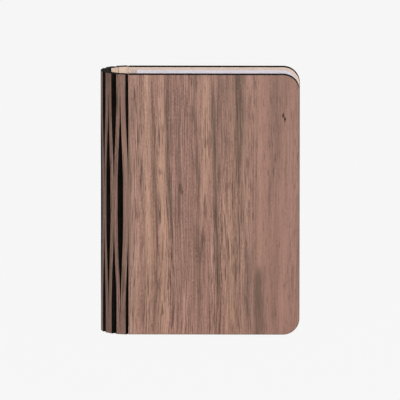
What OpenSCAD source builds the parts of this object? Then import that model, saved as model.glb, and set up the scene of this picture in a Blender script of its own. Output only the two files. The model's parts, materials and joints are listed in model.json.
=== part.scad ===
/* [Overall] */
// Height of the closed lamp, which stands on this end (mm)
lamp_height = 122; // [80:1:220]
// Width of the closed lamp, from the spine to the fore edge (mm)
lamp_width = 92; // [70:1:180]
// Thickness of the closed lamp over the swell of the spine (mm)
lamp_thickness = 25; // [22:0.5:34]

/* [Covers] */
// Thickness of the wooden board that makes covers and spine (mm)
board_thickness = 3.8; // [3:0.1:5]
// Radius of the four corners at the fore edge (mm)
corner_radius = 7.7; // [3:0.1:14]
// Thickness of the lining inside each cover (mm)
lining_thickness = 0.2; // [0.1:0.05:0.3]
// How far the lining stays inside the edge of the cover (mm)
lining_inset = 0.6; // [0.3:0.1:1.2]

/* [Spine] */
// Length of wood that joins each pair of strips at both ends (mm)
end_bridge = 10; // [5:0.5:16]
// Length of wood that joins each pair of strips at mid height (mm)
middle_bridge = 14; // [6:0.5:24]
// Turn between two neighbouring strips when the lamp is fully open (degrees)
open_turn = 16; // [15:0.1:16]
// Smallest gap left between two strips at the end of their turn (mm)
slit_clearance = 0.05; // [0.03:0.01:0.2]

/* [Pages] */
// How far the folded paper stays inside the edge of the covers (mm)
page_inset = 1.4; // [0.8:0.1:3]
// Thickness of one paper leaf with its two faces (mm)
page_thickness = 0.5; // [0.3:0.05:0.6]
// Space between the light core and the inner folds (mm)
fold_clearance = 0.6; // [0.4:0.1:2]

/* [Light core] */
// Wall of the tube behind the cell (mm)
housing_wall = 0.9; // [0.7:0.1:1.5]
// Wall between the cell and the lamp strip (mm)
flat_wall = 0.5; // [0.4:0.1:1]
// Depth of the lamp strip with the curved clear cover in front of it (mm)
lamp_depth = 2.4; // [2.2:0.1:3.5]
// Space between the core and the two ends of the spine (mm)
core_recess = 4; // [2:0.5:10]
// Space behind the core, filled by its glue pad at mid height (mm)
pad_thickness = 0.7; // [0.5:0.1:1.2]
// Diameter of the rechargeable cell (mm)
cell_diameter = 8; // [6:0.1:9.6]
// Thickness of the end caps (mm)
cap_thickness = 2; // [1.2:0.1:3]

/* [Magnets] */
// Diameter of the magnets that hold the opened covers together (mm)
magnet_diameter = 8; // [5:0.5:10]
// Thickness of the magnets (mm)
magnet_thickness = 1.2; // [0.8:0.1:2]

/* [Hidden] */
$fn = 64;
strips = 12;
strip_turn = 180 / strips;
half_board = board_thickness / 2;
rough_pitch = (lamp_thickness - board_thickness) * tan(strip_turn / 2);
side_swell = 0.32 * rough_pitch * sin(strip_turn) - half_board * (1 - cos(strip_turn));
book_thickness = lamp_thickness - 2 * side_swell;
strip_pitch = (book_thickness - board_thickness) * tan(strip_turn / 2);
slit_width = strip_pitch
    - 2 * (strip_pitch / 2 - half_board * sin(open_turn) - slit_clearance / 2) / cos(open_turn);
strip_width = strip_pitch - slit_width;
cut_gap = 0.06;
cut_height = (end_bridge + (lamp_height - middle_bridge) / 2) / 2;
middle_low = (lamp_height - middle_bridge) / 2;
middle_high = (lamp_height + middle_bridge) / 2;

left_face = -lamp_width / 2;
fore_edge = lamp_width / 2;
spine_bulge = strip_width / 2 * sin(strip_turn)
    + half_board * cos(strip_turn);
apex = left_face + spine_bulge;
inner_gap = book_thickness - 2 * board_thickness;

// Direction from one strip to the next at a given turn of the spine.
function travel(turn) = [-cos(turn), sin(turn)];
// Axis about which strip k twists, in the closed spine.
function strip_axis(k) =
    k == 6 ? [apex, -strip_pitch / 2]
    : k == 7 ? [apex, strip_pitch / 2]
    : k < 6 ? strip_axis(k + 1) - strip_pitch * travel(strip_turn * k)
    : strip_axis(k - 1) + strip_pitch * travel(strip_turn * (k - 1));

cover_start = strip_axis(1).x + strip_pitch / 2 + slit_width / 2;
socket_width = 7.4;
socket_depth = 2.6;
socket_length = 5.5;
bore_radius = max(cell_diameter, norm([socket_width, socket_depth])) / 2 + 0.1;
core_radius = (housing_wall + 2 * bore_radius + flat_wall + lamp_depth) / 2;
core_x = apex + half_board + pad_thickness + core_radius;
core_low = core_recess;
core_high = lamp_height - core_recess;
tube_low = core_low + cap_thickness;
tube_high = core_high - cap_thickness;
lamp_flat = core_radius - lamp_depth;
bore_x = core_x - core_radius + housing_wall + bore_radius;
board_half_width = bore_radius - 0.5;
board_low = core_low + socket_length;
board_high = lamp_height * 0.44;
cell_low = board_high + 2;
cell_high = tube_high - 5;
page_start = core_x + core_radius + fold_clearance;
page_end = fore_edge - page_inset - 0.1;
leaves = 9;
first_leaf_y = inner_gap / 2 - lining_thickness - page_thickness / 2 - 0.024;
leaf_pitch = first_leaf_y / (leaves - 0.5);
magnet_x = fore_edge - corner_radius - magnet_diameter / 2;
magnet_low = lamp_height * 0.25;
magnet_high = lamp_height * 0.75;
magnet_fit = 0.1;
sensor_disc = 5;
sensor_x = cover_start + 5;

walnut = [0.52, 0.37, 0.30];
lining_peach = [0.93, 0.80, 0.68];
paper_white = [0.93, 0.92, 0.95];
shell_white = [0.90, 0.90, 0.88];
frosted = [0.96, 0.94, 0.88];
steel = [0.75, 0.75, 0.77];
board_green = [0.12, 0.35, 0.22];
phosphor = [0.97, 0.85, 0.35];
cell_blue = [0.20, 0.35, 0.62];
nickel = [0.80, 0.78, 0.72];

// Flat panel with two round corners at the fore edge, standing in the XZ plane.
module rounded_panel(start, end, low, high, radius, y0, thickness) {
    translate([0, y0 + thickness, 0])
        rotate([90, 0, 0])
            linear_extrude(thickness)
                union() {
                    translate([start, low])
                        square([end - radius - start, high - low]);
                    translate([end - radius - 1, low + radius])
                        square([radius + 1, high - low - 2 * radius]);
                    translate([end - radius, low + radius])
                        circle(radius);
                    translate([end - radius, high - radius])
                        circle(radius);
                }
}

// Pair of spine strips k and k+1 as one flat plate, from height low to high.
module strip_pair(k, low, high) {
    centre = (strip_axis(k) + strip_axis(k + 1)) / 2;
    plate = 2 * strip_pitch - slit_width;
    translate([centre.x, centre.y, low])
        rotate([0, 0, 180 - strip_turn * k])
            translate([-plate / 2, -half_board, 0])
                cube([plate, board_thickness, high - low]);
}

// Slit in the middle of the pair of strips k and k+1.
module pair_slit(k, low, high) {
    centre = (strip_axis(k) + strip_axis(k + 1)) / 2;
    translate([centre.x, centre.y, low])
        rotate([0, 0, 180 - strip_turn * k])
            translate([-slit_width / 2, -board_thickness, 0])
                cube([slit_width, 2 * board_thickness, high - low]);
}

// End of spine pair number pair, joined at the end of the book and slit towards the middle.
module spine_top(pair) {
    difference() {
        strip_pair(2 * pair - 1, lamp_height - cut_height + cut_gap / 2, lamp_height);
        pair_slit(2 * pair - 1, 0, lamp_height - end_bridge);
    }
}

module spine_bottom(pair) {
    difference() {
        strip_pair(2 * pair - 1, 0, cut_height - cut_gap / 2);
        pair_slit(2 * pair - 1, end_bridge, lamp_height);
    }
}

// Middle of spine pair number pair, joined at mid height and slit towards both ends.
module spine_middle(pair) {
    difference() {
        strip_pair(2 * pair, cut_height + cut_gap / 2, lamp_height - cut_height - cut_gap / 2);
        pair_slit(2 * pair, 0, middle_low);
        pair_slit(2 * pair, middle_high, lamp_height);
    }
}

// Single strip beside a cover, with the bridge that carries it.
module cover_strip(k) {
    axis = strip_axis(k);
    low = cut_height + cut_gap / 2;
    translate([axis.x - strip_width / 2, axis.y - half_board, low])
        cube([strip_width, board_thickness, lamp_height - 2 * low]);
    translate([axis.x, axis.y - half_board, middle_low])
        cube([cover_start - axis.x, board_thickness, middle_bridge]);
}

// Round pocket or disc that lies flat in a cover, its axis along Y.
module cover_disc(x, z, y0, diameter, thickness) {
    translate([x, y0, z])
        rotate([-90, 0, 0])
            cylinder(d = diameter, h = thickness);
}

module cover_panel(y0, pocket_y) {
    difference() {
        rounded_panel(cover_start, fore_edge, 0, lamp_height, corner_radius, y0, board_thickness);
        cover_disc(magnet_x, magnet_low, pocket_y, magnet_diameter + 2 * magnet_fit,
            magnet_thickness + 1);
        cover_disc(magnet_x, magnet_high, pocket_y, magnet_diameter + 2 * magnet_fit,
            magnet_thickness + 1);
    }
}

module front_cover() {
    color(walnut)
        cover_panel(-book_thickness / 2, -inner_gap / 2 - magnet_thickness);
}

module back_cover() {
    color(walnut)
        difference() {
            cover_panel(inner_gap / 2, inner_gap / 2 - 1);
            cover_disc(sensor_x, lamp_height / 2, inner_gap / 2 - 1, sensor_disc + 2 * magnet_fit,
                magnet_thickness + 1);
        }
}

module lining(y0) {
    rounded_panel(cover_start + lining_inset, fore_edge - lining_inset, lining_inset,
        lamp_height - lining_inset, corner_radius - lining_inset, y0, lining_thickness);
}

module front_lining() {
    color(lining_peach)
        lining(-inner_gap / 2);
}

module back_lining() {
    color(lining_peach)
        lining(inner_gap / 2 - lining_thickness);
}

// Leaf number leaf of the folded paper, counted from the front cover.
module leaf_panel(leaf) {
    y = -first_leaf_y + (leaf - 1) * leaf_pitch;
    rounded_panel(page_start, page_end, page_inset, lamp_height - page_inset,
        corner_radius - page_inset, y - page_thickness / 2, page_thickness);
}

module spine_mid_0() {
    color(walnut)
        cover_strip(1);
}

module spine_mid_1() {
    color(walnut)
        spine_middle(1);
}

module spine_mid_2() {
    color(walnut)
        spine_middle(2);
}

module spine_mid_3() {
    color(walnut)
        spine_middle(3);
}

module spine_mid_4() {
    color(walnut)
        spine_middle(4);
}

module spine_mid_5() {
    color(walnut)
        spine_middle(5);
}

module spine_mid_6() {
    color(walnut)
        cover_strip(strips);
}

module spine_top_1() {
    color(walnut)
        spine_top(1);
}

module spine_top_2() {
    color(walnut)
        spine_top(2);
}

module spine_top_3() {
    color(walnut)
        spine_top(3);
}

module spine_top_4() {
    color(walnut)
        spine_top(4);
}

module spine_top_5() {
    color(walnut)
        spine_top(5);
}

module spine_top_6() {
    color(walnut)
        spine_top(6);
}

module spine_bottom_1() {
    color(walnut)
        spine_bottom(1);
}

module spine_bottom_2() {
    color(walnut)
        spine_bottom(2);
}

module spine_bottom_3() {
    color(walnut)
        spine_bottom(3);
}

module spine_bottom_4() {
    color(walnut)
        spine_bottom(4);
}

module spine_bottom_5() {
    color(walnut)
        spine_bottom(5);
}

module spine_bottom_6() {
    color(walnut)
        spine_bottom(6);
}

module page_front_1() {
    color(paper_white)
        leaf_panel(1);
}

module page_front_2() {
    color(paper_white)
        leaf_panel(2);
}

module page_front_3() {
    color(paper_white)
        leaf_panel(3);
}

module page_front_4() {
    color(paper_white)
        leaf_panel(4);
}

module page_front_5() {
    color(paper_white)
        leaf_panel(5);
}

module page_front_6() {
    color(paper_white)
        leaf_panel(6);
}

module page_front_7() {
    color(paper_white)
        leaf_panel(7);
}

module page_front_8() {
    color(paper_white)
        leaf_panel(8);
}

module page_front_9() {
    color(paper_white)
        leaf_panel(9);
}

module page_back_1() {
    color(paper_white)
        leaf_panel(2 * leaves + 1 - 1);
}

module page_back_2() {
    color(paper_white)
        leaf_panel(2 * leaves + 1 - 2);
}

module page_back_3() {
    color(paper_white)
        leaf_panel(2 * leaves + 1 - 3);
}

module page_back_4() {
    color(paper_white)
        leaf_panel(2 * leaves + 1 - 4);
}

module page_back_5() {
    color(paper_white)
        leaf_panel(2 * leaves + 1 - 5);
}

module page_back_6() {
    color(paper_white)
        leaf_panel(2 * leaves + 1 - 6);
}

module page_back_7() {
    color(paper_white)
        leaf_panel(2 * leaves + 1 - 7);
}

module page_back_8() {
    color(paper_white)
        leaf_panel(2 * leaves + 1 - 8);
}

module page_back_9() {
    color(paper_white)
        leaf_panel(2 * leaves + 1 - 9);
}

// Tube behind the lamp strip, bored for the cell and flat in front.
module core_housing() {
    color(shell_white)
        difference() {
            translate([core_x, 0, tube_low])
                cylinder(r = core_radius, h = tube_high - tube_low);
            translate([core_x + lamp_flat, -core_radius, tube_low - 1])
                cube([core_radius, 2 * core_radius, tube_high - tube_low + 2]);
            translate([bore_x, 0, tube_low - 1])
                cylinder(r = bore_radius, h = tube_high - tube_low + 2);
        }
}

// Glue pad that fixes the core to the middle of the spine.
module core_pad() {
    color(shell_white)
        difference() {
            translate([apex + half_board, -2.2, middle_low + 1])
                cube([pad_thickness + 0.5, 4.4, middle_bridge - 2]);
            translate([core_x, 0, 0])
                cylinder(r = core_radius, h = lamp_height);
        }
}

module core_cap_top() {
    color(shell_white) {
        translate([core_x, 0, tube_high])
            cylinder(r = core_radius, h = cap_thickness);
        translate([bore_x, 0, tube_high - 2])
            cylinder(r = bore_radius - 0.05, h = 3);
    }
}

// Bottom cap with the slot for the charge socket.
module core_cap_bottom() {
    color(shell_white)
        difference() {
            union() {
                translate([core_x, 0, core_low])
                    cylinder(r = core_radius, h = cap_thickness);
                translate([bore_x, 0, core_low + 1])
                    cylinder(r = bore_radius - 0.05, h = cap_thickness + 1);
            }
            translate([bore_x - socket_depth / 2 - 0.1, -socket_width / 2 - 0.1, 0])
                cube([socket_depth + 0.2, socket_width + 0.2, lamp_height / 2]);
            translate([bore_x - socket_depth / 2 - 0.1, -core_radius, tube_low])
                cube([socket_depth + 0.2, 2 * core_radius, cap_thickness + 1]);
        }
}

// Curved clear cover in front of the lamp strip.
module diffuser() {
    color(frosted)
        intersection() {
            difference() {
                translate([core_x, 0, tube_low])
                    cylinder(r = core_radius, h = tube_high - tube_low);
                translate([core_x, 0, tube_low - 1])
                    cylinder(r = core_radius - 0.7, h = tube_high - tube_low + 2);
            }
            translate([core_x + lamp_flat, -core_radius, 0])
                cube([core_radius, 2 * core_radius, lamp_height]);
        }
}

module led_board() {
    color(steel)
        translate([core_x + lamp_flat, -2.5, tube_low + 3])
            cube([0.8, 5, tube_high - tube_low - 6]);
}

module led_line() {
    color(phosphor)
        translate([core_x + lamp_flat + 0.8, -1.2, tube_low + 5])
            cube([0.5, 2.4, tube_high - tube_low - 10]);
}

module cell() {
    color(cell_blue)
        translate([bore_x, 0, cell_low])
            cylinder(d = cell_diameter, h = cell_high - cell_low);
}

module cell_lead(y) {
    translate([bore_x + 0.8, y, board_high - 3])
        cylinder(r = 0.4, h = 5, $fn = 24);
}

module cell_lead_plus() {
    color(nickel)
        cell_lead(1.6);
}

module cell_lead_minus() {
    color(nickel)
        cell_lead(-1.6);
}

// Charging and switching electronics, with the charger chip, a coil and two capacitors.
module circuit_board() {
    color(board_green) {
        translate([bore_x - 0.4, -board_half_width, board_low])
            cube([0.8, 2 * board_half_width, board_high - board_low]);
        translate([bore_x + 0.3, -2, board_low + 6])
            cube([1.1, 4, 4]);
        translate([bore_x + 0.3, -1.8, board_low + 13])
            cube([1.8, 3.6, 3.6]);
        translate([bore_x + 0.3, -2.6, board_low + 20])
            cube([0.9, 1.2, 2]);
        translate([bore_x + 0.3, 1.4, board_low + 20])
            cube([0.9, 1.2, 2]);
    }
}

module hall_sensor() {
    color([0.1, 0.1, 0.1])
        translate([bore_x - 1.3, -1.5, board_high - 8])
            cube([0.9, 3, 2.4]);
}

// Small flat charge socket: a steel shell with the contact tongue inside.
module charge_socket() {
    color(steel)
        translate([bore_x - socket_depth / 2, -socket_width / 2, core_low])
            union() {
                difference() {
                    cube([socket_depth, socket_width, socket_length]);
                    translate([0.35, 0.35, -1])
                        cube([socket_depth - 0.7, socket_width - 0.7, socket_length]);
                }
                translate([0.95, 1.55, 0.5])
                    cube([0.7, socket_width - 3.1, socket_length - 0.5]);
            }
}

module front_magnet(z) {
    cover_disc(magnet_x, z, -inner_gap / 2 - magnet_thickness, magnet_diameter, magnet_thickness);
}

module back_magnet(z) {
    cover_disc(magnet_x, z, inner_gap / 2, magnet_diameter, magnet_thickness);
}

module front_magnet_top() {
    color(steel)
        front_magnet(magnet_high);
}

module front_magnet_bottom() {
    color(steel)
        front_magnet(magnet_low);
}

module back_magnet_top() {
    color(steel)
        back_magnet(magnet_high);
}

module back_magnet_bottom() {
    color(steel)
        back_magnet(magnet_low);
}

// Magnet near the spine that the sensor in the core feels while the book is shut.
module sensor_magnet() {
    color(steel)
        cover_disc(sensor_x, lamp_height / 2, inner_gap / 2, sensor_disc, magnet_thickness);
}

front_cover();
back_cover();
front_lining();
back_lining();
spine_mid_0();
spine_mid_1();
spine_mid_2();
spine_mid_3();
spine_mid_4();
spine_mid_5();
spine_mid_6();
spine_top_1();
spine_top_2();
spine_top_3();
spine_top_4();
spine_top_5();
spine_top_6();
spine_bottom_1();
spine_bottom_2();
spine_bottom_3();
spine_bottom_4();
spine_bottom_5();
spine_bottom_6();
page_front_1();
page_front_2();
page_front_3();
page_front_4();
page_front_5();
page_front_6();
page_front_7();
page_front_8();
page_front_9();
page_back_1();
page_back_2();
page_back_3();
page_back_4();
page_back_5();
page_back_6();
page_back_7();
page_back_8();
page_back_9();
core_housing();
core_pad();
core_cap_top();
core_cap_bottom();
diffuser();
led_board();
led_line();
cell();
cell_lead_plus();
cell_lead_minus();
circuit_board();
hall_sensor();
charge_socket();
front_magnet_top();
front_magnet_bottom();
back_magnet_top();
back_magnet_bottom();
sensor_magnet();
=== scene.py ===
import json
import math

import bpy
from mathutils import Matrix, Vector


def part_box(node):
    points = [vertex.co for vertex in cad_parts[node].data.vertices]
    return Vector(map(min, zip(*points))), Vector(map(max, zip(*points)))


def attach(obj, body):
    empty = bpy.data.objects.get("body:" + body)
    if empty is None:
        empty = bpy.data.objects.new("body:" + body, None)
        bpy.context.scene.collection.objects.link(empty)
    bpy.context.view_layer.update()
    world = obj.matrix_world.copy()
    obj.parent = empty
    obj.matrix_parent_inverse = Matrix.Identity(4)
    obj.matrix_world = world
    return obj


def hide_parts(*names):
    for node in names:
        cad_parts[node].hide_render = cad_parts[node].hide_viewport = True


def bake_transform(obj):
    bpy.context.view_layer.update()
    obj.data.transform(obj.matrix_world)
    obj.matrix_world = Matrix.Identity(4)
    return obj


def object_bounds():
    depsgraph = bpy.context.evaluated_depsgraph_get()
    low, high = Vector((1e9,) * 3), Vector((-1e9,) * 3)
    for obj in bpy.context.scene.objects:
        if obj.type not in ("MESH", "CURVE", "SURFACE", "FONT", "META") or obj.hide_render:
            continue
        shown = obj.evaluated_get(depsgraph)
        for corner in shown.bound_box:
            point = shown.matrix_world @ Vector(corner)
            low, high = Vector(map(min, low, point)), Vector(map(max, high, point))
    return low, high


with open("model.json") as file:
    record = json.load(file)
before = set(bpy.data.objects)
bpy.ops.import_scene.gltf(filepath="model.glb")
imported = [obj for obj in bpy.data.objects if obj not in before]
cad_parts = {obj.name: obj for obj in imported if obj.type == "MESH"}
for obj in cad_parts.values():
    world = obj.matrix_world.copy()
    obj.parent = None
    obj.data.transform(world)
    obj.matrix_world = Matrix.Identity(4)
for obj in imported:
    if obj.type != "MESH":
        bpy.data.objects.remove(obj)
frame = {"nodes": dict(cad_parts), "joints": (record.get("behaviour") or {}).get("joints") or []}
cad_low, cad_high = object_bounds()

# ---- Camera -----------------------------------------------------------------
# A very long lens stands square in front of the lamp and looks down on it a
# little, so that the ends of the pages just show above the front cover.

camera_distance = 6.0
camera_turn = math.radians(0.5)
camera_tilt = math.radians(10.5)
aim = Vector((-0.00005, 0.0, 0.0610))
frame_width = 0.1850
view_depth = 50.0

towards_camera = Vector(
    (
        math.sin(camera_turn) * math.cos(camera_tilt),
        -math.cos(camera_turn) * math.cos(camera_tilt),
        math.sin(camera_tilt),
    )
)
camera_data = bpy.data.cameras.new("camera")
camera_data.lens = camera_data.sensor_width * camera_distance / frame_width
camera_data.clip_end = view_depth
camera = bpy.data.objects.new("camera", camera_data)
camera.location = aim + towards_camera * camera_distance
camera.rotation_euler = towards_camera.to_track_quat("Z", "Y").to_euler()
bpy.context.collection.objects.link(camera)
bpy.context.scene.camera = camera

# ---- Studio floor and light --------------------------------------------------
# A plain pale floor that runs on into a pale world, one wide soft lamp above
# the front and a weaker one from the right. None of it belongs to the lamp.

bpy.context.scene.view_settings.view_transform = "Standard"


def node(tree, kind, settings=None, **inputs):
    """Adds a shader node. A named input takes a number, a colour or another node's socket."""
    made = tree.nodes.new(kind)
    for name, value in (settings or {}).items():
        setattr(made, name, value)
    for name, value in inputs.items():
        place = int(name[1:]) if name[1:].isdigit() else name.replace("_", " ")
        if isinstance(value, bpy.types.NodeSocket):
            tree.links.new(value, made.inputs[place])
        else:
            made.inputs[place].default_value = value
    return made


def blank_material(name):
    """An empty node material and its output node."""
    material = bpy.data.materials.new(name)
    material.use_nodes = True
    material.node_tree.nodes.clear()
    return material, material.node_tree.nodes.new("ShaderNodeOutputMaterial")


def srgb(red, green, blue):
    """A screen colour of 0 to 255 as the linear colour that a shader takes."""
    shares = [value / 255 for value in (red, green, blue)]
    linear = [
        share / 12.92 if share <= 0.04045 else ((share + 0.055) / 1.055) ** 2.4
        for share in shares
    ]
    return (*linear, 1.0)


def shown_rays(tree):
    """1 for a ray that shows the background: straight, off gloss or through clear plastic."""
    path = node(tree, "ShaderNodeLightPath")
    rays = path.outputs["Is Camera Ray"]
    for kind in ("Is Glossy Ray", "Is Transmission Ray"):
        rays = node(
            tree, "ShaderNodeMath", {"operation": "MAXIMUM"}, _0=rays, _1=path.outputs[kind]
        ).outputs[0]
    return rays


pale = srgb(247, 247, 247)
floor_size = 12.0
floor_glow = 0.98
world_light = 0.36

bpy.ops.object.select_all(action="DESELECT")
bpy.ops.mesh.primitive_plane_add(size=floor_size, location=(0, 0, 0))
floor = bpy.context.object
floor.name = "studio_floor"
floor_paint, floor_output = blank_material("studio_floor")
tree = floor_paint.node_tree
paint = node(tree, "ShaderNodeBsdfDiffuse", Color=pale)
seen = node(tree, "ShaderNodeEmission", Color=pale, Strength=1.0)
share = node(
    tree, "ShaderNodeMath", {"operation": "MULTIPLY"}, _0=shown_rays(tree), _1=floor_glow
)
both = node(
    tree, "ShaderNodeMixShader", Fac=share.outputs[0], _1=paint.outputs[0], _2=seen.outputs[0]
)
tree.links.new(both.outputs[0], floor_output.inputs["Surface"])
floor.data.materials.append(floor_paint)

world = bpy.data.worlds.new("studio")
bpy.context.scene.world = world
world.use_nodes = True
tree = world.node_tree
tree.nodes.clear()
soft = node(tree, "ShaderNodeBackground", Color=(1, 1, 1, 1), Strength=world_light)
seen = node(tree, "ShaderNodeBackground", Color=pale, Strength=1.0)
both = node(
    tree, "ShaderNodeMixShader", Fac=shown_rays(tree), _1=soft.outputs[0], _2=seen.outputs[0]
)
tree.links.new(both.outputs[0], tree.nodes.new("ShaderNodeOutputWorld").inputs["Surface"])


def soft_lamp(name, place, size, power):
    """A square area lamp at a place, turned to the middle of the book."""
    data = bpy.data.lights.new(name, "AREA")
    data.size = size
    data.energy = power
    lamp = bpy.data.objects.new(name, data)
    lamp.location = place
    lamp.rotation_euler = (Vector(place) - aim).to_track_quat("Z", "Y").to_euler()
    bpy.context.collection.objects.link(lamp)


soft_lamp("key_light", (0.0, -1.5, 1.0), 0.8, 18.3)
soft_lamp("side_light", (1.4, -0.5, 0.6), 0.9, 4.0)

# ---- Cover boards ------------------------------------------------------------
# Two flat boards of dark walnut, cut by a laser from one sheet with the spine,
# so that their edges are burnt. The two fore-edge corners are round.

board_thickness = 0.0038
corner_radius = 0.0077
edge_softness = 0.0002
flat_enough = 0.95
smoothed_below = math.radians(30)
same_place = 1e-6
book_height = cad_high[2]
front_low, front_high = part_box("front_cover")
back_low, back_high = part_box("back_cover")
spine_side = front_low[0]

# Dark streaks of the front board: across at the foot, middle and head of the board,
# half width, lowest, highest, depth of tone.
front_streaks = (
    (-0.0315, -0.0315, -0.0315, 0.0024, -0.010, 0.130, 0.38),
    (0.0225, 0.0205, 0.0190, 0.0046, -0.010, 0.130, 0.42),
    (-0.0212, -0.0207, -0.0226, 0.0006, -0.010, 0.130, 0.70),
    (-0.0122, -0.0137, -0.0150, 0.0008, -0.010, 0.130, 0.75),
    (-0.0088, -0.0093, -0.0088, 0.0007, -0.010, 0.130, 0.75),
    (-0.0006, -0.0009, -0.0027, 0.0009, -0.010, 0.130, 0.80),
    (-0.0026, -0.0026, -0.0026, 0.0014, 0.096, 0.130, 0.80),
    (0.0086, 0.0073, 0.0060, 0.0010, -0.010, 0.130, 0.95),
    (0.0103, 0.0103, 0.0103, 0.0005, 0.040, 0.084, 0.45),
    (0.0232, 0.0196, 0.0172, 0.0011, -0.010, 0.130, 0.95),
    (0.0185, 0.0185, 0.0190, 0.0030, 0.084, 0.130, 0.75),
    (0.0272, 0.0276, 0.0280, 0.0030, -0.010, 0.036, 0.70),
    (0.0395, 0.0393, 0.0390, 0.0006, 0.060, 0.130, 0.35),
    (0.0115, 0.0115, 0.0115, 0.0045, 0.064, 0.130, 0.30),
)
# Paler streaks of the front board, told in the same way.
pale_streaks = (
    (-0.0170, -0.0172, -0.0180, 0.0020, -0.010, 0.130, 0.95),
    (0.0030, 0.0028, 0.0030, 0.0020, 0.045, 0.130, 0.70),
    (-0.0245, -0.0245, -0.0250, 0.0014, -0.010, 0.080, 0.55),
    (0.0150, 0.0135, 0.0135, 0.0014, 0.000, 0.060, 0.45),
)
# The wood lightens by these shares of tone a metre, towards the spine and towards the foot.
# From calm_at metres beside the spine it is calm, as far as the fore edge.
spine_slope = 0.9
slope_from = 0.012
slope_zero = 0.049
foot_slope = 0.38
calm_from = 0.051
calm_at = 0.063
calm_share = 0.60
# How far the grain wanders and its streaks fray, in metres, and how deep its speckle is.
wander_width = 0.006
fray_width = 0.0014
speckle_depth = 0.24
# The spine's width in the uncut board, how deeply laser smoke and painted shade darken its strips,
# and how much more painted shade darkens the middle strips, which turn away from the light.
spine_span = 0.0330
smoke_and_shade_depth = 0.50
middle_painted_shade = 0.14
# Small knots of the front board: across, height, size, depth of tone.
front_knots = (
    (0.0384, 0.1029, 0.0006, 0.95),
    (0.0392, 0.1012, 0.0006, 0.95),
    (-0.0090, 0.0690, 0.0012, 0.55),
    (-0.0083, 0.0672, 0.0009, 0.55),
)
knot_squash = 0.42
knot_raggedness = 1.6


def noise(tree, vector, stretch, detail=4.0, roughness=0.55):
    """Noise on the given coordinates. Stretch is its number of features a metre on each axis."""
    placed = node(tree, "ShaderNodeMapping", Vector=vector, Scale=stretch)
    return node(
        tree,
        "ShaderNodeTexNoise",
        {"noise_dimensions": "3D"},
        Vector=placed.outputs[0],
        Scale=1.0,
        Detail=detail,
        Roughness=roughness,
    ).outputs["Fac"]


def reshape(tree, value, low, high, to_low=0.0, to_high=1.0):
    """A value from low to high eased to another range, and held at its ends."""
    return node(
        tree,
        "ShaderNodeMapRange",
        {"interpolation_type": "SMOOTHSTEP"},
        Value=value,
        From_Min=low,
        From_Max=high,
        To_Min=to_low,
        To_Max=to_high,
    ).outputs[0]


def sum_up(tree, operation, first, second, third=0.0):
    """One step of arithmetic between two or three values."""
    step = node(
        tree, "ShaderNodeMath", {"operation": operation}, _0=first, _1=second, _2=third
    )
    return step.outputs[0]


def tint(tree, share, first, second, blend_type="MIX"):
    """The first colour turned towards the second by a share."""
    mix = node(tree, "ShaderNodeMix", {"data_type": "RGBA", "blend_type": blend_type})
    for place, value in ((0, share), (6, first), (7, second)):
        if isinstance(value, bpy.types.NodeSocket):
            tree.links.new(value, mix.inputs[place])
        else:
            mix.inputs[place].default_value = value
    return mix.outputs[2]


def weighted(tree, first, weight, second, other_weight):
    """Two values added, each by its weight."""
    return sum_up(
        tree,
        "ADD",
        sum_up(tree, "MULTIPLY", first, weight),
        sum_up(tree, "MULTIPLY", second, other_weight),
    )


def swing(tree, value, width):
    """Noise made to swing about nothing, over a width."""
    return sum_up(tree, "MULTIPLY", sum_up(tree, "SUBTRACT", value, 0.5), width)


def start_finish(name):
    """A new material, its output and node tree, and the place on the piece for its textures."""
    material, output = blank_material(name)
    tree = material.node_tree
    return material, output, tree, node(tree, "ShaderNodeTexCoord").outputs["Object"]


def surface(tree, output, colour, roughness, relief=None, **settings):
    """Ends a material in one surface. Relief is a height, its strength and its depth in metres."""
    if relief:
        height, strength, depth = relief
        bump = node(tree, "ShaderNodeBump", Strength=strength, Distance=depth, Height=height)
        settings["Normal"] = bump.outputs[0]
    skin = node(
        tree, "ShaderNodeBsdfPrincipled", Base_Color=colour, Roughness=roughness, **settings
    )
    tree.links.new(skin.outputs[0], output.inputs["Surface"])


def bands_at(tree, across, height, streaks):
    """The depth of tone that a table of long streaks gives at each place of the board."""
    share = sum_up(tree, "DIVIDE", height, book_height)
    bands = 0.0
    for foot, middle, head, half_width, lowest, highest, depth in streaks:
        bend = 2 * (foot + head) - 4 * middle
        course = sum_up(tree, "MULTIPLY_ADD", share, bend, 4 * middle - 3 * foot - head)
        course = sum_up(tree, "MULTIPLY_ADD", course, share, foot)
        aside = sum_up(tree, "ABSOLUTE", sum_up(tree, "SUBTRACT", across, course), 0.0)
        beside = reshape(tree, aside, half_width * 0.2, half_width * 1.5, depth, 0.0)
        centre = (lowest + highest) / 2
        away = sum_up(tree, "ABSOLUTE", sum_up(tree, "SUBTRACT", height, centre), 0.0)
        half_length = (highest - lowest) / 2
        along = reshape(tree, away, half_length * 0.6, half_length, 1.0, 0.0)
        bands = sum_up(tree, "MAXIMUM", bands, sum_up(tree, "MULTIPLY", beside, along))
    return bands


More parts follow.
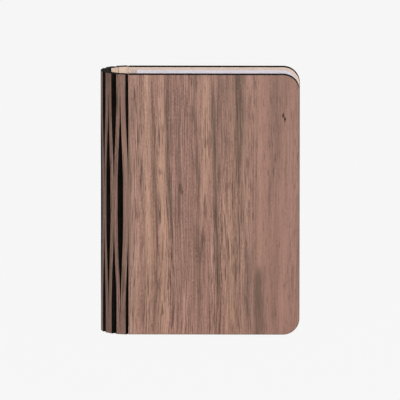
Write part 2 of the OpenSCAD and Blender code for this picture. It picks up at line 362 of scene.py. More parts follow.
def walnut_finish():
    """Dark walnut under a thin matt oil: streaks, fine fibres and short pores along the grain."""
    material, output = blank_material("walnut")
    tree = material.node_tree
    place = node(tree, "ShaderNodeAttribute", {"attribute_name": "grain_place"}).outputs["Vector"]
    wander = noise(tree, place, (30, 30, 9), 2.0)
    split = node(tree, "ShaderNodeSeparateXYZ", Vector=place)
    across = sum_up(tree, "ADD", split.outputs[0], swing(tree, wander, wander_width))
    height = split.outputs[2]
    grain = node(
        tree, "ShaderNodeCombineXYZ", X=across, Y=split.outputs[1], Z=height
    ).outputs[0]

    # Broad bands, the figure and fine fibres make up the tone.
    broad = noise(tree, grain, (75, 60, 5), 3.0)
    figure = noise(tree, grain, (300, 120, 9), 5.0, 0.6)
    fibre = noise(tree, grain, (1500, 700, 42), 4.0, 0.6)
    tone = sum_up(
        tree,
        "ADD",
        sum_up(tree, "MULTIPLY", broad, 0.36),
        weighted(tree, figure, 0.28, fibre, 0.36),
    )
    # The board lightens towards the spine and the foot, and is calm near the fore edge. The
    # distance beside the spine is less than nothing on the spine's strips.
    from_spine = sum_up(
        tree, "ABSOLUTE", sum_up(tree, "SUBTRACT", across, spine_side - spine_span / 2), 0.0
    )
    from_spine = sum_up(tree, "SUBTRACT", from_spine, spine_span / 2)
    inward = sum_up(tree, "MAXIMUM", from_spine, slope_from)
    slope = sum_up(tree, "MULTIPLY", sum_up(tree, "SUBTRACT", slope_zero, inward), spine_slope)
    below = sum_up(tree, "SUBTRACT", book_height / 2, height)
    slope = sum_up(tree, "ADD", slope, sum_up(tree, "MULTIPLY", below, foot_slope))
    calm = reshape(tree, from_spine, calm_from, calm_at, 0.0, calm_share)
    lively = sum_up(tree, "SUBTRACT", 1.0, calm)
    flatter = sum_up(tree, "MULTIPLY", sum_up(tree, "SUBTRACT", 0.5, tone), calm)
    speckle = swing(tree, noise(tree, grain, (2600, 1500, 800), 2.0), speckle_depth)
    speckle = sum_up(tree, "MULTIPLY", speckle, lively)
    for change in (flatter, slope, speckle):
        tone = sum_up(tree, "ADD", tone, change)
    ramp = node(tree, "ShaderNodeValToRGB", Fac=tone)
    ramp.color_ramp.elements[0].position = 0.36
    ramp.color_ramp.elements[0].color = srgb(82, 61, 54)
    ramp.color_ramp.elements[1].position = 0.67
    ramp.color_ramp.elements[1].color = srgb(200, 158, 142)
    middle = ramp.color_ramp.elements.new(0.50)
    middle.color = srgb(157, 119, 106)
    # The brown turns pinker in some streaks and tanner in others.
    hue = reshape(tree, noise(tree, grain, (110, 60, 7), 3.0), 0.42, 0.60, 0.0, 0.42)
    hue = sum_up(tree, "MULTIPLY", hue, lively)
    colour = tint(tree, hue, ramp.outputs[0], (0.93, 0.99, 0.84, 1.0), "MULTIPLY")

    # Grey-brown heartwood bands: some anywhere, the broad ones at their places.
    fray = sum_up(tree, "SUBTRACT", noise(tree, grain, (420, 200, 70), 3.0), 0.5)
    frayed = sum_up(tree, "MULTIPLY_ADD", fray, fray_width, across)
    uneven = reshape(tree, noise(tree, grain, (70, 30, 24), 2.0), 0.36, 0.58, 0.45, 1.0)
    pale_bands = sum_up(tree, "MULTIPLY", bands_at(tree, frayed, height, pale_streaks), uneven)
    colour = tint(tree, pale_bands, colour, srgb(188, 149, 127))
    drift = noise(tree, grain, (95, 40, 6), 3.0, 0.55)
    bands = sum_up(
        tree,
        "MAXIMUM",
        reshape(tree, drift, 0.57, 0.72, 0.0, 0.30),
        sum_up(tree, "MULTIPLY", bands_at(tree, frayed, height, front_streaks), uneven),
    )
    broken = reshape(tree, noise(tree, grain, (1300, 600, 30), 3.0, 0.6), 0.38, 0.56, 0.40, 1.0)
    bands = sum_up(tree, "MULTIPLY", bands, broken)
    colour = tint(tree, bands, colour, srgb(84, 70, 58))

    # Dark fibres: hairlines one or two centimetres long, crowded in some places.
    hairs = reshape(tree, noise(tree, grain, (2100, 1000, 60), 3.0, 0.65), 0.51, 0.59, 0.0, 1.0)
    dense = reshape(tree, noise(tree, grain, (190, 90, 12), 2.0), 0.38, 0.62, 0.25, 1.0)
    hairs = sum_up(tree, "MULTIPLY", hairs, sum_up(tree, "SUBTRACT", dense, calm))
    colour = tint(tree, sum_up(tree, "MULTIPLY", hairs, 0.95), colour, srgb(88, 64, 54))

    # Open pores: short dark dashes a few millimetres long.
    pores = reshape(tree, noise(tree, grain, (2600, 1400, 150), 2.0), 0.57, 0.63, 0.0, 1.0)
    crowd = reshape(tree, noise(tree, grain, (140, 80, 10), 2.0), 0.35, 0.65, 0.35, 1.0)
    pores = sum_up(tree, "MULTIPLY", pores, crowd)
    colour = tint(tree, sum_up(tree, "MULTIPLY", pores, 0.62), colour, srgb(74, 54, 46))

    # Laser smoke and painted shade darken the narrow strips of the spine, and more painted shade
    # darkens the middle strips, which turn away from the light.
    smoke_and_shade_mask = sum_up(
        tree,
        "ADD",
        reshape(tree, from_spine, -0.0004, 0.0012, smoke_and_shade_depth, 0.0),
        reshape(tree, from_spine, -0.0145, -0.0120, middle_painted_shade, 0.0),
    )
    colour = tint(tree, smoke_and_shade_mask, colour, srgb(66, 52, 44))

    # Small dark knots, ragged all round.
    ragged_rim = swing(tree, noise(tree, place, (1800, 1800, 1200), 3.0), knot_raggedness)
    knots = 0.0
    for across_at, height_at, size, depth in front_knots:
        away = node(
            tree,
            "ShaderNodeVectorMath",
            {"operation": "SUBTRACT"},
            _0=place,
            _1=(across_at, 0.0, height_at),
        ).outputs[0]
        squeezed = node(
            tree,
            "ShaderNodeVectorMath",
            {"operation": "MULTIPLY"},
            _0=away,
            _1=(1.0, 0.0, knot_squash),
        ).outputs[0]
        distance = node(tree, "ShaderNodeVectorMath", {"operation": "LENGTH"}, _0=squeezed)
        ragged = sum_up(tree, "MULTIPLY_ADD", distance.outputs["Value"], 1 / size, ragged_rim)
        eye = reshape(tree, ragged, 0.4, 1.1, depth, 0.0)
        knots = sum_up(tree, "MAXIMUM", knots, eye)
    colour = tint(tree, knots, colour, srgb(38, 27, 20))

    # Fibres stand up a little from the surface, and pores are sunk in it.
    rough = reshape(tree, tone, 0.3, 0.7, 0.62, 0.5)
    relief = weighted(tree, fibre, 0.25, pores, -0.6)
    surface(tree, output, colour, rough, (relief, 0.35, 0.00012), Specular_IOR_Level=0.22)
    return material


def burnt_finish():
    """Wood charred by the laser: near-black brown, with faint lines through the board. It also
    serves as painted shade on the inner faces of the strips behind the core.
    """
    material, output, tree, place = start_finish("burnt_edge")
    streaks = noise(tree, place, (900, 900, 260), 3.0)
    soot = noise(tree, place, (160, 160, 60), 2.0)
    share = weighted(tree, streaks, 0.6, soot, 0.4)
    colour = tint(tree, reshape(tree, share, 0.35, 0.68), srgb(7, 6, 5), srgb(25, 20, 17))
    surface(tree, output, colour, 0.85, (streaks, 0.3, 0.00008), Specular_IOR_Level=0.06)
    return material


def bare_finish():
    """Pale bare inner face of the board, warm peach, with a faint straight grain."""
    material, output, tree, place = start_finish("bare_inner_face")
    lines = noise(tree, place, (900, 900, 22), 4.0)
    clouds = noise(tree, place, (60, 60, 12), 3.0)
    share = weighted(tree, lines, 0.6, clouds, 0.4)
    colour = tint(tree, reshape(tree, share, 0.3, 0.7), srgb(219, 190, 170), srgb(239, 216, 198))
    surface(tree, output, colour, 0.7, (lines, 0.15, 0.00005), Specular_IOR_Level=0.3)
    return material


walnut = walnut_finish()
burnt_edge = burnt_finish()
bare_face = bare_finish()


def keep_selected(mesh, kind, wanted):
    """Selects only those vertices, edges or faces of an edited mesh that wanted() accepts."""
    bpy.ops.mesh.select_all(action="DESELECT")
    bpy.ops.mesh.select_mode(type={"vertices": "VERT", "edges": "EDGE", "polygons": "FACE"}[kind])
    bpy.ops.object.mode_set(mode="OBJECT")
    for item in getattr(mesh, kind):
        item.select = bool(wanted(item))
    bpy.ops.object.mode_set(mode="EDIT")


def start_block(name, low, high):
    """A box between two corners, in edit mode."""
    bpy.ops.object.select_all(action="DESELECT")
    middle = (Vector(low) + Vector(high)) / 2
    bpy.ops.mesh.primitive_cube_add(size=1.0, location=middle, scale=Vector(high) - Vector(low))
    block = bpy.context.object
    block.name = block.data.name = name
    bpy.ops.object.transform_apply(location=True, rotation=True, scale=True)
    bpy.ops.object.mode_set(mode="EDIT")
    return block


def end_block():
    """Turns all faces of an edited mesh outwards and leaves edit mode."""
    bpy.ops.mesh.select_all(action="SELECT")
    bpy.ops.mesh.normals_make_consistent(inside=False)
    bpy.ops.object.mode_set(mode="OBJECT")


def round_corners(mesh, at_x, radius, segments):
    """Rounds the corners of an edited board or sheet at its fore edge."""
    def corner_edge(edge):
        ends = [mesh.vertices[i].co for i in edge.vertices]
        return all(abs(end.x - at_x) < same_place for end in ends) and (
            abs(ends[0].y - ends[1].y) > same_place
        )

    keep_selected(mesh, "edges", corner_edge)
    bpy.ops.mesh.bevel(offset=radius, offset_type="OFFSET", segments=segments, affect="EDGES")


walnut_at, char_and_shade_at, bare_at = 0, 1, 2


def paint_board(board, outward):
    """Walnut on the outer face, bare wood on the inner face and char on all that isn't flat."""
    for material in (walnut, burnt_edge, bare_face):
        board.data.materials.append(material)
    for face in board.data.polygons:
        facing = face.normal.y * outward
        if facing > flat_enough:
            face.material_index = walnut_at
        else:
            face.material_index = bare_at if facing < -flat_enough else char_and_shade_at


def mark_grain(mesh, across, depth):
    """Stores each point's place in the flat uncut board: across the grain, into it, along it."""
    attribute = mesh.attributes.new("grain_place", "FLOAT_VECTOR", "POINT")
    for point, value in zip(mesh.vertices, attribute.data):
        value.vector = (across(point.co), depth(point.co), point.co.z)


def cover_board(name, low, high, outward):
    """A board with two rounded fore-edge corners and a slightly softened rim."""
    board = start_block(name, low, high)
    mesh = board.data
    round_corners(mesh, high[0], corner_radius, 16)

    def rim_edge(edge):
        ends = [mesh.vertices[i].co for i in edge.vertices]
        flat = abs(ends[0].y - ends[1].y) < same_place
        return flat and not all(abs(end.x - low[0]) < same_place for end in ends)

    keep_selected(mesh, "edges", rim_edge)
    bpy.ops.mesh.bevel(offset=edge_softness, offset_type="OFFSET", segments=2, affect="EDGES")
    end_block()
    paint_board(board, outward)
    bpy.ops.object.shade_smooth_by_angle(angle=smoothed_below)
    return board


front_board = cover_board("front_cover_board", front_low, front_high, -1)
mark_grain(front_board.data, lambda point: point.x, lambda point: point.y - front_low[1])
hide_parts("front_cover")
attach(front_board, "front_cover")

back_board = cover_board("back_cover_board", back_low, back_high, 1)
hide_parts("back_cover")
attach(back_board, "back_cover")

# ---- Spine strips ------------------------------------------------------------
# Twelve upright strips left between the laser's slits, each joined to one neighbour
# at both ends and to the other at mid height, so that it twists between them as the
# book opens. Black tape in mid board closes the slits to light.

strip_count = 12
# A strip's twist with the book closed, and its twist the other way with the book fully open.
strip_turn = math.radians(180 / strip_count)
last_turn = math.radians(15.95)
twist_steps = 22
end_bridge = 0.010
middle_bridge = 0.014
slit_end = 0.0004
slit_gap = 0.00016
tape_gap = 0.00006
tape_thickness = 0.0003
tape_lip = 0.00002
tape_reach = tape_thickness / 2 + tape_lip / 2
# A slit's rims are burnt round by scorched_rim where it is open, and by a share of it where not.
scorched_rim = 0.0003
closed_rim = 0.02
# These strips stand behind the core, and their inner faces are painted black as painted shade of
# the hollow there.
inside_shaded_strips = (5, 6, 7, 8)
half_board = board_thickness / 2
half_height = book_height / 2
twist_start = end_bridge
twist_end = half_height - middle_bridge / 2
axes = {}
for joint in frame["joints"]:
    if joint["name"].startswith("strip_"):
        axes[int(joint["name"].split("_")[1])] = Vector(joint["pos_m"])
strip_pitch = (axes[7] - axes[6]).length
cover_reach = spine_side - axes[1].x


def ease(share):
    """How far a strip has turned from its end to its middle, at a share of its free length."""
    share = min(max(share, 0.0), 1.0)
    return share * share * (3 - 2 * share)


def half_width(turn, reach, gap):
    """Half the width of a strip whose edge keeps a gap from its neighbour at that turn."""
    return (reach - gap / 2 - half_board * math.sin(turn)) / math.cos(turn)


def spine_strip(name, cover_beside):
    """Lower half of a strip that is joined towards +X at its foot and towards -X at mid height."""
    reach = cover_reach if cover_beside else strip_pitch / 2
    strip = start_block(
        name, (-strip_pitch / 2, -half_board, 0), (strip_pitch / 2, half_board, half_height)
    )
    mesh = strip.data
    levels = [end_bridge, end_bridge + slit_end, twist_end - slit_end, twist_end]
    levels += [
        twist_start + (twist_end - twist_start) * step / twist_steps
        for step in range(1, twist_steps)
    ]
    # The block is cut at every level, and on both sides of the tape.
    for level in sorted(levels):
        bpy.ops.mesh.select_all(action="SELECT")
        bpy.ops.mesh.bisect(plane_co=(0, 0, level), plane_no=(0, 0, 1))
    for depth in (tape_thickness / 2, tape_thickness / 2 + tape_lip):
        for face in (-depth, depth):
            bpy.ops.mesh.select_all(action="SELECT")
            bpy.ops.mesh.bisect(plane_co=(0, face, 0), plane_no=(0, 1, 0))
    bpy.ops.object.mode_set(mode="OBJECT")
    paint_board(strip, 1)

    def outer_corner(edge):
        ends = [mesh.vertices[i].co for i in edge.vertices]
        upright = abs(ends[0].z - ends[1].z) > same_place
        return upright and all(
            end.y > half_board - same_place and abs(end.x) > strip_pitch / 2 - same_place
            for end in ends
        )

    bpy.ops.object.mode_set(mode="EDIT")
    keep_selected(mesh, "edges", outer_corner)
    bpy.ops.mesh.bevel(
        offset=scorched_rim, offset_type="OFFSET", segments=2, affect="EDGES", material=char_and_shade_at
    )
    bpy.ops.object.mode_set(mode="OBJECT")
    # Each level gets its width, so that the slit beside it stays fine however the strip turns,
    # and the tape its own, so that it nearly meets the next strip's.
    for level in [0.0] + sorted(levels) + [half_height]:
        turned = ease((level - twist_start) / (twist_end - twist_start))
        joined = half_width(last_turn * turned, strip_pitch / 2, slit_gap)
        if level < end_bridge + same_place:
            joined = strip_pitch / 2
        free = half_width(last_turn * (1 - turned), reach, slit_gap)
        if level > twist_end - same_place:
            free = reach
        edge_at = strip_pitch / 2
        taped_joined = edge_at if level < end_bridge + same_place else edge_at - tape_gap / 2
        taped_free = reach if level > twist_end - same_place else reach - tape_gap / 2
        for side, width, taped, opened in (
            (1, joined, taped_joined, turned),
            (-1, free, taped_free, 1 - turned),
        ):
            level_side = [
                vertex.index
                for vertex in mesh.vertices
                if abs(vertex.co.z - level) < same_place and vertex.co.x * side > 0
            ]
            rim = [
                i
                for i in level_side
                if mesh.vertices[i].co.y > half_board - scorched_rim - same_place
            ]
            tape = [i for i in level_side if abs(mesh.vertices[i].co.y) < tape_reach]
            bpy.ops.object.mode_set(mode="EDIT")
            keep_selected(mesh, "vertices", lambda vertex: vertex.index in rim)
            bpy.ops.transform.resize(
                value=(max(opened, closed_rim), max(opened, closed_rim), 1),
                center_override=(side * edge_at, half_board, level),
            )
            for moved, place in ((tape, taped), (set(level_side) - set(tape), width)):
                keep_selected(mesh, "vertices", lambda vertex: vertex.index in moved)
                bpy.ops.transform.translate(value=(side * (place - edge_at), 0, 0))
            bpy.ops.object.mode_set(mode="OBJECT")
    mark_grain(mesh, lambda point: point.x, lambda point: half_board - point.y)
    # The strip is twisted as it stands in the closed book.
    bpy.ops.object.mode_set(mode="EDIT")
    for level in sorted(levels) + [half_height]:
        turned = ease((level - twist_start) / (twist_end - twist_start))
        keep_selected(mesh, "vertices", lambda vertex: abs(vertex.co.z - level) < same_place)
        if turned > 0:
            bpy.ops.transform.rotate(
                value=-strip_turn * turned, orient_axis="Z", center_override=(0, 0, level)
            )
    bpy.ops.object.mode_set(mode="OBJECT")
    return strip


def placed_strip(pattern, number, upper):
    """A copy of the pattern at its own axis, mirrored for even numbers and for the upper half."""
    copy = pattern.copy()
    copy.data = pattern.data.copy()
    copy.name = copy.data.name = f"spine_strip_{number}_{'upper' if upper else 'lower'}"
    bpy.context.collection.objects.link(copy)
    mesh = copy.data
    side = 1 if number % 2 else -1
    joined_turn = strip_turn * (number if number % 2 else number - 1)
    grain_at = axes[1].x - (number - 1) * strip_pitch
    for value in mesh.attributes["grain_place"].data:
        across, depth, height = value.vector
        value.vector = (
            grain_at - side * across,
            depth,
            book_height - height if upper else height,
        )
    shape = Matrix.Translation((axes[number].x, axes[number].y, 0))
    shape @= Matrix.Rotation(math.pi - joined_turn, 4, "Z")
    shape @= Matrix.Diagonal((side, 1, 1, 1))
    if upper:
        shape = Matrix.Translation((0, 0, book_height)) @ Matrix.Diagonal((1, 1, -1, 1)) @ shape
    mesh.transform(shape)
    if (side < 0) != upper:
        mesh.flip_normals()
    return copy


plain_pattern = spine_strip("plain_strip", False)
cover_pattern = spine_strip("cover_strip", True)
for number in range(1, strip_count + 1):
    pattern = cover_pattern if number in (1, strip_count) else plain_pattern
    pair = (number + 1) // 2
    middle = number // 2
    for upper in (False, True):
        strip = placed_strip(pattern, number, upper)
        # Painted shade: the inner faces of these strips take the black char instead of bare wood.
        if number in inside_shaded_strips:
            for face in strip.data.polygons:
                face.material_index = min(face.material_index, char_and_shade_at)
        start, end = twist_start, twist_end
        if upper:
            start, end = book_height - start, book_height - end
        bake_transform(strip)
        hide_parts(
            f"spine_{'top' if upper else 'bottom'}_{pair}", f"spine_mid_{middle}"
        )
bpy.data.objects.remove(plain_pattern)
bpy.data.objects.remove(cover_pattern)

back_grain = axes[1].x - (strip_count - 1) * strip_pitch + axes[strip_count].x
mark_grain(
    back_board.data, lambda point: back_grain - point.x, lambda point: back_high[1] - point.y
)

# ---- Cover linings -----------------------------------------------------------
# A thin warm paper glued over the whole inner face of each cover. It carries
# the first leaf of the pages.


def lining_finish():
    """Warm peach lining paper with a fine mottle."""
    material, output, tree, place = start_finish("lining_paper")
    mottle = noise(tree, place, (700, 700, 700), 4.0)
    clouds = noise(tree, place, (50, 50, 50), 2.0)
    share = weighted(tree, mottle, 0.5, clouds, 0.5)
    colour = tint(tree, reshape(tree, share, 0.35, 0.65), srgb(208, 189, 177), srgb(221, 204, 193))
    surface(tree, output, colour, 0.8, (mottle, 0.12, 0.00004), Specular_IOR_Level=0.25)
    return material


def repaint(name, material):
    """Gives a construction piece its finish."""
    piece = frame["nodes"][name]
    piece.data.materials.clear()
    piece.data.materials.append(material)


lining_paper = lining_finish()
for side in ("front", "back"):
    repaint(f"{side}_lining", lining_paper)

# ---- Pages -------------------------------------------------------------------
# One long sheet of tough white fibre paper, pleated into leaves as high as the
# book. The first and last leaf are glued to the linings, and the creases turn
# the rest into a fan, and at last into a round lantern.

leaf_count = 9
sheet_thickness = 0.00034
page_corner = 0.0063
swirl_reach = 0.006
fold_steps = 10
weld_distance = 1e-7
fold_smoothed_below = math.radians(40)


def page_finish():
    """White spun-fibre paper: a faint cool tone, pressed swirls of fibre and a soft sheen."""
    material, output, tree, place = start_finish("page_paper")
    bent = node(
        tree, "ShaderNodeTexNoise", Vector=place, Scale=260.0, Detail=2.0
    ).outputs["Color"]
    swirl = node(
        tree, "ShaderNodeVectorMath", {"operation": "SCALE"}, _0=bent, Scale=swirl_reach
    ).outputs[0]
    moved = node(
        tree, "ShaderNodeVectorMath", {"operation": "ADD"}, _0=place, _1=swirl
    ).outputs[0]
    fibres = noise(tree, moved, (1400, 1400, 420), 4.0, 0.65)
    clouds = noise(tree, place, (110, 110, 90), 3.0)
    share = weighted(tree, fibres, 0.6, clouds, 0.4)
    colour = tint(tree, reshape(tree, share, 0.32, 0.68), srgb(226, 218, 226), srgb(243, 237, 243))
    surface(tree, output, colour, 0.62, (fibres, 0.2, 0.00005), Specular_IOR_Level=0.35)
    return material


page_paper = page_finish()


def page_leaf(name, low, high):
    """One leaf between two folds, a thin sheet with rounded fore-edge corners."""
    middle = (low[1] + high[1]) / 2
    leaf = start_block(
        name,
        (low[0], middle - sheet_thickness / 2, low[2]),
        (high[0], middle + sheet_thickness / 2, high[2]),
    )
    round_corners(leaf.data, high[0], page_corner, 10)
    end_block()
    leaf.data.materials.append(page_paper)
    bpy.ops.object.shade_smooth_by_angle(angle=smoothed_below)
    return leaf


def page_crease(name, first, second, at_x, turn, low_z, high_z):
    """The paper turned round a fold from one leaf to the next. A negative turn bulges to +X."""
    middle = (first + second) / 2
    radius = abs(second - first) / 2
    # A plane as wide as the sheet is thick, stood upright beside the fold, is spun round it.
    bpy.ops.object.select_all(action="DESELECT")
    bpy.ops.mesh.primitive_plane_add(size=1.0, location=(0, 0, 0))
    crease = bpy.context.object
    crease.name = crease.data.name = name
    crease.scale = (sheet_thickness, high_z - low_z, 1)
    crease.rotation_euler = (math.radians(90), 0, 0)
    bpy.ops.object.transform_apply(location=False, rotation=True, scale=True)
    crease.rotation_euler = (0, 0, math.radians(90))
    bpy.ops.object.transform_apply(location=False, rotation=True, scale=False)
    crease.location = (at_x, middle - radius, (low_z + high_z) / 2)
    bpy.ops.object.transform_apply(location=True, rotation=False, scale=False)
    bpy.ops.object.mode_set(mode="EDIT")
    bpy.ops.mesh.select_all(action="SELECT")
    bpy.ops.mesh.spin(steps=fold_steps, angle=turn, center=(at_x, middle, 0), axis=(0, 0, 1))
    bpy.ops.mesh.select_all(action="SELECT")
    bpy.ops.mesh.remove_doubles(threshold=weld_distance)
    end_block()
    crease.data.materials.append(page_paper)
    bpy.ops.object.shade_smooth_by_angle(angle=fold_smoothed_below)
    return crease


for side in ("front", "back"):
    boxes = [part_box(f"page_{side}_{leaf}") for leaf in range(1, leaf_count + 1)]
    for leaf, (low, high) in enumerate(boxes, start=1):
        body = f"{side}_cover" if leaf == 1 else f"leaf_{side}_{leaf}"
        sheet = page_leaf(f"paper_{side}_{leaf}", low, high)
        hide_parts(f"page_{side}_{leaf}")
        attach(sheet, body)
        if leaf == leaf_count:
            continue
        next_low, next_high = boxes[leaf]
        first = (low[1] + high[1]) / 2
        second = (next_low[1] + next_high[1]) / 2
        outer = leaf % 2 == 1
        turn_at = high[0] if outer else low[0]
        cut_back = page_corner if outer else 0
        crease = page_crease(
            f"crease_{side}_{leaf}",
            first,
            second,
            turn_at,
            -math.pi if outer else math.pi,
            low[2] + cut_back,
            high[2] - cut_back,
        )
        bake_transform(crease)

# The fold of the two middle leaves is in two halves that meet, the back half a mirror of the
# front.
give_way = 0.0154
middle_low, middle_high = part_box(f"page_front_{leaf_count}")
other_low, other_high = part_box(f"page_back_{leaf_count}")
front_middle = (middle_low[1] + middle_high[1]) / 2
back_middle = (other_low[1] + other_high[1]) / 2
front_half = page_crease(
    "crease_middle_front",
    front_middle,
    back_middle,
    middle_high[0],
    -math.pi / 2,
    middle_low[2] + page_corner,
    middle_high[2] - page_corner,
)
back_half = front_half.copy()
back_half.data = front_half.data.copy()
back_half.name = back_half.data.name = "crease_middle_back"
bpy.context.collection.objects.link(back_half)
back_half.data.transform(Matrix.Diagonal((1, -1, 1, 1)))
back_half.data.flip_normals()
for side, half, depth, inward in (
    ("front", front_half, front_middle, give_way),
    ("back", back_half, back_middle, -give_way),
):
    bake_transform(half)

# ---- Core housing ------------------------------------------------------------
# A moulded tube of warm white plastic that stands inside the spine. It is
# closed by a cap at each end, and a pad of the same plastic is glued to the
# middle of the spine behind it.


def moulded_finish(name, dark, light, roughness):
    """Moulded plastic: an even colour with a faint mottle and a fine spark texture."""
    material, output, tree, place = start_finish(name)
    mottle = noise(tree, place, (90, 90, 90), 3.0)
    spark = noise(tree, place, (3200, 3200, 3200), 2.0)
    colour = tint(tree, reshape(tree, mottle, 0.3, 0.7), dark, light)
    rough = reshape(tree, spark, 0.3, 0.7, roughness - 0.05, roughness + 0.05)
    surface(tree, output, colour, rough, (spark, 0.15, 0.00002))
    return material


warm_shell = moulded_finish("warm_shell", srgb(222, 208, 194), srgb(234, 222, 209), 0.5)
for name in ("core_housing", "core_pad", "core_cap_bottom"):
    repaint(name, warm_shell)

# ---- Top cap -----------------------------------------------------------------
# A round moulded cap, pushed into the bore of the tube by a short plug. It has
# a chamfered rim, a ring groove and a shallow dish with a gate mark in it.

cap_thickness = 0.002
cap_chamfer = 0.00035
groove_width = 0.0003
groove_depth = 0.00025
groove_slope = 0.00006
dish_depth = 0.0004
gate_slope = 0.00008
gate_height = 0.00012
level_enough = 0.99
cap_smoothed_below = math.radians(32)
cap_low, cap_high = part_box("core_cap_top")
cell_low, cell_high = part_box("cell")
cap_radius = (cap_high[1] - cap_low[1]) / 2
cap_middle = cap_high[0] - cap_radius
plug_top = cap_high[2] - cap_thickness / 2


def upper_face(face):
    """Whether a face is the flat face at the very top of the cap."""
    return face.normal.z > level_enough and face.center.z > cap_high[2] - same_place


def chamfered_disc(name, sides, radius, at_x, low_z, high_z, rim_z, segments):
    """An upright disc with its rim at one height chamfered, in edit mode."""
    bpy.ops.object.select_all(action="DESELECT")
    bpy.ops.mesh.primitive_cylinder_add(
        vertices=sides,
        radius=radius,
        depth=high_z - low_z,
        location=(at_x, 0, (low_z + high_z) / 2),
    )
    disc = bpy.context.object
    mesh = disc.data
    disc.name = mesh.name = name
    bpy.ops.object.transform_apply(location=True, rotation=True, scale=True)
    mesh.materials.append(warm_shell)
    bpy.ops.object.mode_set(mode="EDIT")
    keep_selected(
        mesh,
        "edges",
        lambda edge: all(abs(mesh.vertices[i].co.z - rim_z) < same_place for i in edge.vertices),
    )
    bpy.ops.mesh.bevel(
        offset=cap_chamfer, offset_type="OFFSET", segments=segments, affect="EDGES"
    )
    return disc


cap = chamfered_disc(
    "cap_top",
    sides=72,
    radius=cap_radius,
    at_x=cap_middle,
    low_z=cap_high[2] - cap_thickness,
    high_z=cap_high[2],
    rim_z=cap_high[2],
    segments=3,
)
keep_selected(cap.data, "polygons", upper_face)
for width, rise in (
    # The rim.
    (cap_radius * 0.12, 0.0),
    # The groove: one side, its floor and the other side.
    (groove_slope, -groove_depth),
    (groove_width, 0.0),
    (groove_slope, groove_depth),
    # The land, and the dish in three falls.
    (cap_radius * 0.16, 0.0),
    (dish_depth, -dish_depth * 0.6),
    (dish_depth, -dish_depth * 0.3),
    (cap_radius * 0.40, -dish_depth * 0.1),
    # The gate mark.
    (gate_slope, gate_height),
):
    bpy.ops.mesh.inset(thickness=width, depth=rise)
bpy.ops.object.mode_set(mode="OBJECT")
bpy.ops.object.shade_smooth_by_angle(angle=cap_smoothed_below)

plug = chamfered_disc(
    "cap_top_plug",
    sides=48,
    radius=(cell_high[1] - cell_low[1]) / 2,
    at_x=(cell_low[0] + cell_high[0]) / 2,
    low_z=cap_low[2],
    high_z=plug_top,
    rim_z=cap_low[2],
    segments=2,
)
bpy.ops.object.mode_set(mode="OBJECT")
bpy.ops.object.shade_smooth_by_angle(angle=cap_smoothed_below)
for piece in (cap, plug):
    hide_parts("core_cap_top")
    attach(piece, "spine_root")

# ---- Diffuser ----------------------------------------------------------------
# A curved strip of frosted clear plastic that closes the lamp side of the core
# and spreads the light of the diodes behind it.


def frosted_finish():
    """Milky plastic that lets soft light through."""
    material, output, tree, place = start_finish("frosted_plastic")
    haze = noise(tree, place, (1500, 1500, 1500), 3.0)
    colour = tint(tree, reshape(tree, haze, 0.3, 0.7), srgb(238, 232, 222), srgb(247, 243, 236))
    rough = reshape(tree, haze, 0.3, 0.7, 0.38, 0.5)
    surface(tree, output, colour, rough, IOR=1.49, Transmission_Weight=0.35)
    return material


repaint("diffuser", frosted_finish())

# ---- Light strip -------------------------------------------------------------
# A narrow aluminium-backed board stuck to the flat of the core, with one line
# of white diodes under a yellow phosphor bead along its middle.

diode_pitch = 0.0025


def strip_board_finish():
    """White lacquer on thin metal, with a brushed grain along it."""
    material, output, tree, place = start_finish("strip_board")
    brushed = noise(tree, place, (2600, 2600, 60), 3.0)
    colour = tint(tree, reshape(tree, brushed, 0.3, 0.7), srgb(214, 216, 218), srgb(232, 233, 234))
    rough = reshape(tree, brushed, 0.3, 0.7, 0.3, 0.42)
    surface(tree, output, colour, rough, Metallic=0.25)
    return material


def phosphor_finish():
    """Yellow silicone bead, deeper in colour over each diode of the row."""
    material, output, tree, place = start_finish("phosphor_bead")
    height = node(tree, "ShaderNodeSeparateXYZ", Vector=place).outputs["Z"]
    row = sum_up(tree, "PINGPONG", height, diode_pitch / 2)
    between = reshape(tree, row, 0.0003, 0.0008, 0.0, 0.7)
    grain = noise(tree, place, (2400, 2400, 2400), 3.0)
    share = sum_up(tree, "ADD", between, sum_up(tree, "MULTIPLY", grain, 0.3))
    colour = tint(tree, share, srgb(226, 190, 74), srgb(246, 222, 128))
    surface(tree, output, colour, 0.35)
    return material


repaint("led_board", strip_board_finish())
repaint("led_line", phosphor_finish())

# ---- Cell --------------------------------------------------------------------
# A round lithium cell in a shrunk blue sleeve, pushed into the bore of the core.
# Two nickel leads join it to the circuit board below it.


def sleeve_finish():
    """Shrunk film: glossy, with faint rings where it drew tight."""
    material, output, tree, place = start_finish("cell_sleeve")
    rings = noise(tree, place, (40, 40, 900), 3.0)
    colour = tint(tree, reshape(tree, rings, 0.3, 0.7), srgb(40, 78, 150), srgb(58, 98, 172))
    surface(tree, output, colour, 0.28, (rings, 0.1, 0.00005))
    return material


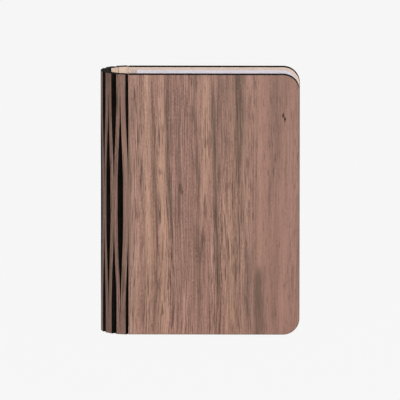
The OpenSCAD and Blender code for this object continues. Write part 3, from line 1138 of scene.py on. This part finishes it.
def plated_finish(name, dark, light, roughness, stretch):
    """Plated metal with fine marks of handling."""
    material, output, tree, place = start_finish(name)
    marks = noise(tree, place, stretch, 4.0)
    colour = tint(tree, reshape(tree, marks, 0.3, 0.7), dark, light)
    rough = reshape(tree, marks, 0.3, 0.7, roughness - 0.06, roughness + 0.08)
    surface(tree, output, colour, rough, Metallic=1.0)
    return material


repaint("cell", sleeve_finish())
nickel_lead = plated_finish(
    "nickel_lead", srgb(178, 170, 152), srgb(206, 199, 184), 0.32, (900, 900, 200)
)
for name in ("cell_lead_plus", "cell_lead_minus"):
    repaint(name, nickel_lead)

# ---- Circuit board -----------------------------------------------------------
# A small green board that charges the cell and dims the light. It stands in the
# foot of the bore, with the magnet sensor soldered to it.


def board_finish():
    """Green solder mask over woven glass, with copper tracks just visible under it."""
    material, output, tree, place = start_finish("circuit_green")
    weave = noise(tree, place, (1800, 1800, 500), 2.0)
    upright = node(
        tree,
        "ShaderNodeVectorRotate",
        {"rotation_type": "X_AXIS"},
        Vector=place,
        Angle=math.pi / 2,
    ).outputs[0]
    tracks = node(
        tree, "ShaderNodeTexBrick", Vector=upright, Scale=900.0, Mortar_Size=0.06
    ).outputs["Fac"]
    share = weighted(tree, weave, 0.4, tracks, 0.5)
    colour = tint(tree, share, srgb(20, 84, 50), srgb(60, 130, 84))
    surface(tree, output, colour, 0.3)
    return material


repaint("circuit_board", board_finish())
repaint("hall_sensor", moulded_finish("sensor_black", srgb(22, 22, 24), srgb(38, 38, 40), 0.45))

# ---- Charge socket -----------------------------------------------------------
# A drawn steel shell soldered to the board, open through the bottom cap, so the
# lamp is charged from below the spine.

repaint(
    "charge_socket",
    plated_finish("socket_steel", srgb(160, 162, 166), srgb(196, 198, 202), 0.3, (700, 700, 120)),
)

# ---- Magnets -----------------------------------------------------------------
# Nickel-plated discs sunk in the covers. Two pairs hold the covers together
# closed and fully open, and one more in the back cover works the sensor.

bright_magnet = plated_finish(
    "bright_magnet", srgb(176, 178, 182), srgb(212, 213, 216), 0.2, (500, 500, 500)
)
for name in (
    "front_magnet_top",
    "front_magnet_bottom",
    "back_magnet_top",
    "back_magnet_bottom",
    "sensor_magnet",
):
    repaint(name, bright_magnet)
